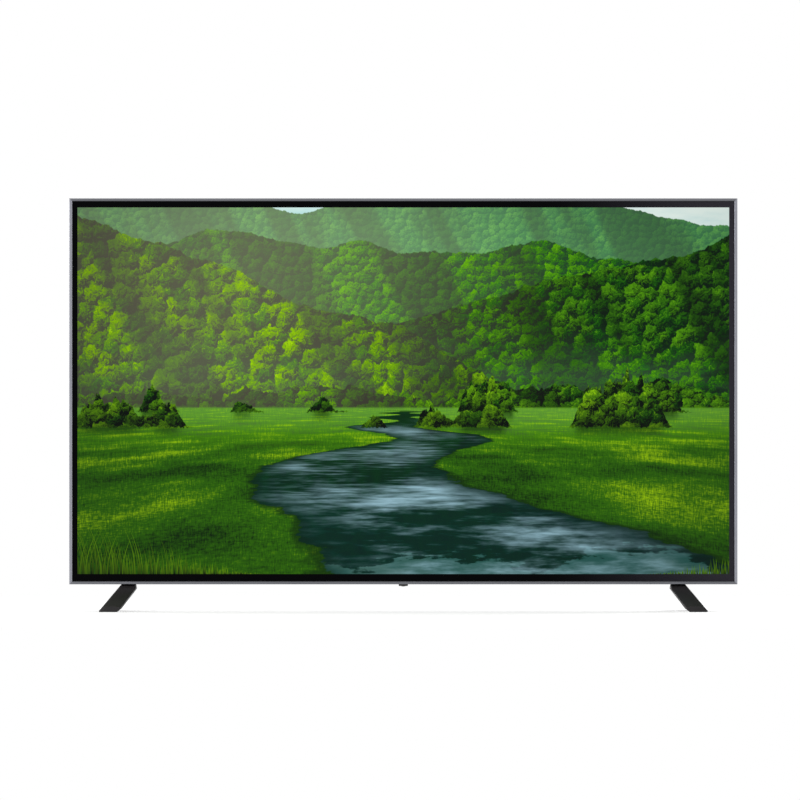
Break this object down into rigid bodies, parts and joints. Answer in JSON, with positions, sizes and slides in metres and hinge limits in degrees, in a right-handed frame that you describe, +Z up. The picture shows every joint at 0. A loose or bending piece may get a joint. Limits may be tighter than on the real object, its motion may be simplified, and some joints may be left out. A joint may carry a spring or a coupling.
{
  "type": "flat screen television",
  "caption": "Flat screen television with a slim metal frame, direct-lit panel, moulded rear cover, splayed blade feet, sprung power key, side terminals and wall-mount posts.",
  "frame": {"origin": "middle of the stand's footprint on the table top, below the middle of the screen", "axes": "+X along the screen to the viewer's right, +Y from the screen to the back, +Z up"},
  "size_m": [1.4644, 0.3, 0.9052],
  "materials": {
    "frame_metal": "satin",
    "steel": "brushed",
    "dark_screw": "matte",
    "foam": "matte",
    "screen": "satin",
    "polariser": "satin",
    "panel_glass": "polished",
    "driver_film": "satin",
    "board_green": "satin",
    "board_tan": "satin",
    "flat_cable": "satin",
    "cushion": "matte",
    "middle_plastic": "matte",
    "optical_film": "satin",
    "diffuser": "matte",
    "clear_plastic": "polished",
    "reflector": "matte",
    "lamp_bar": "matte",
    "lamp_chip": "satin",
    "pan_steel": "satin",
    "heat_sink": "matte",
    "transformer": "matte",
    "capacitor": "satin",
    "header": "matte",
    "harness": "matte",
    "socket_black": "satin",
    "speaker_plastic": "matte",
    "speaker_metal": "satin",
    "cone": "matte",
    "cover_plastic": "textured",
    "bracket_steel": "satin",
    "foot_plastic": "satin",
    "pad_rubber": "matte",
    "nub_plastic": "satin",
    "key_plastic": "satin"
  },
  "bodies": {
    "set_body": {"frame_top_rail": "frame_metal", "frame_bottom_rail": "frame_metal", "frame_left_rail": "frame_metal", "frame_right_rail": "frame_metal", "frame_corner_keys": "steel", "frame_screws": "steel", "front_gasket": "foam", "front_polariser": "screen", "colour_filter_glass": "panel_glass", "array_glass": "panel_glass", "rear_polariser": "polariser", "driver_films": "driver_film", "driver_boards": "board_green", "driver_ribbons": "flat_cable", "panel_cushion": "cushion", "middle_frame": "middle_plastic", "prism_film": "optical_film", "diffuser_film": "optical_film", "diffuser_plate": "diffuser", "diffuser_supports": "clear_plastic", "reflector_sheet": "reflector", "led_bars": "lamp_bar", "led_chips": "lamp_chip", "led_lenses": "clear_plastic", "back_pan": "pan_steel", "main_board": "board_green", "main_heat_sink": "heat_sink", "timing_board": "board_green", "power_board": "board_tan", "power_transformers": "transformer", "power_capacitors": "capacitor", "wifi_board": "board_green", "board_headers": "header", "board_standoffs": "steel", "board_screws": "steel", "power_harness": "harness", "main_ribbon": "flat_cable", "hdmi_sockets": "steel", "usb_sockets": "steel", "network_socket": "socket_black", "antenna_socket": "steel", "audio_jacks": "socket_black", "mains_inlet": "socket_black", "left_speaker_box": "speaker_plastic", "left_speaker_driver": "speaker_metal", "right_speaker_box": "speaker_plastic", "right_speaker_driver": "speaker_metal", "rear_cover": "cover_plastic", "cover_screws": "dark_screw", "vesa_posts": "steel", "foot_brackets": "bracket_steel", "left_foot": "foot_plastic", "right_foot": "foot_plastic", "foot_screws": "dark_screw", "foot_pads": "pad_rubber", "sensor_housing": "nub_plastic", "sensor_board": "board_green"},
    "power_key": {"power_key": "key_plastic"},
    "left_cone": {"left_speaker_cone": "cone"},
    "right_cone": {"right_speaker_cone": "cone"}
  },
  "joints": [
    {"name": "key_press", "type": "slide", "parent": "set_body", "child": "power_key", "axis": [0, 0, 1], "range_m": [0, 0.0005], "stiffness_N_per_m": 4000, "springref_m": -0.0002},
    {"name": "left_cone_travel", "type": "slide", "parent": "set_body", "child": "left_cone", "axis": [0, 0, 1], "range_m": [-0.0015, 0.0015], "stiffness_N_per_m": 2000},
    {"name": "right_cone_travel", "type": "slide", "parent": "set_body", "child": "right_cone", "axis": [0, 0, 1], "range_m": [-0.0015, 0.0015], "stiffness_N_per_m": 2000}
  ]
}
